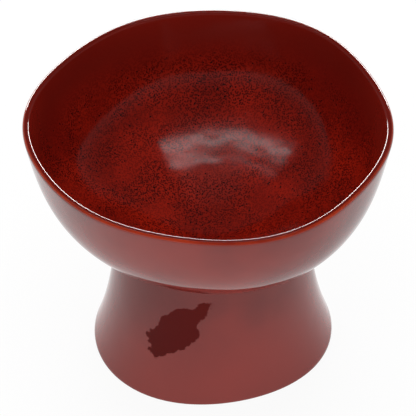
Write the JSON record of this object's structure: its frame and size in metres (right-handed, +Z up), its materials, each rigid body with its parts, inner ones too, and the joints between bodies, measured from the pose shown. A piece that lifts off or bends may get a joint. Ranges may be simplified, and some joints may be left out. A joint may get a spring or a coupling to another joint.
{
  "type": "footed bowl",
  "caption": "Deep round glazed stoneware bowl with a rounded lip, luted onto a tall hollow flared foot.",
  "frame": {"origin": "on the surface that the foot ring stands on, under the middle of the bowl's outline", "axes": "+Z up through the bowl, +X to the right and +Y away from the viewer in the picture"},
  "size_m": [0.2056, 0.206, 0.157],
  "materials": {
    "red_glaze": "gloss",
    "bare_clay": "matt"
  },
  "bodies": {
    "root": {"bowl": "red_glaze", "foot": "red_glaze", "outer_luting_coil": "red_glaze", "inner_luting_coil": "bare_clay"}
  },
  "joints": []
}
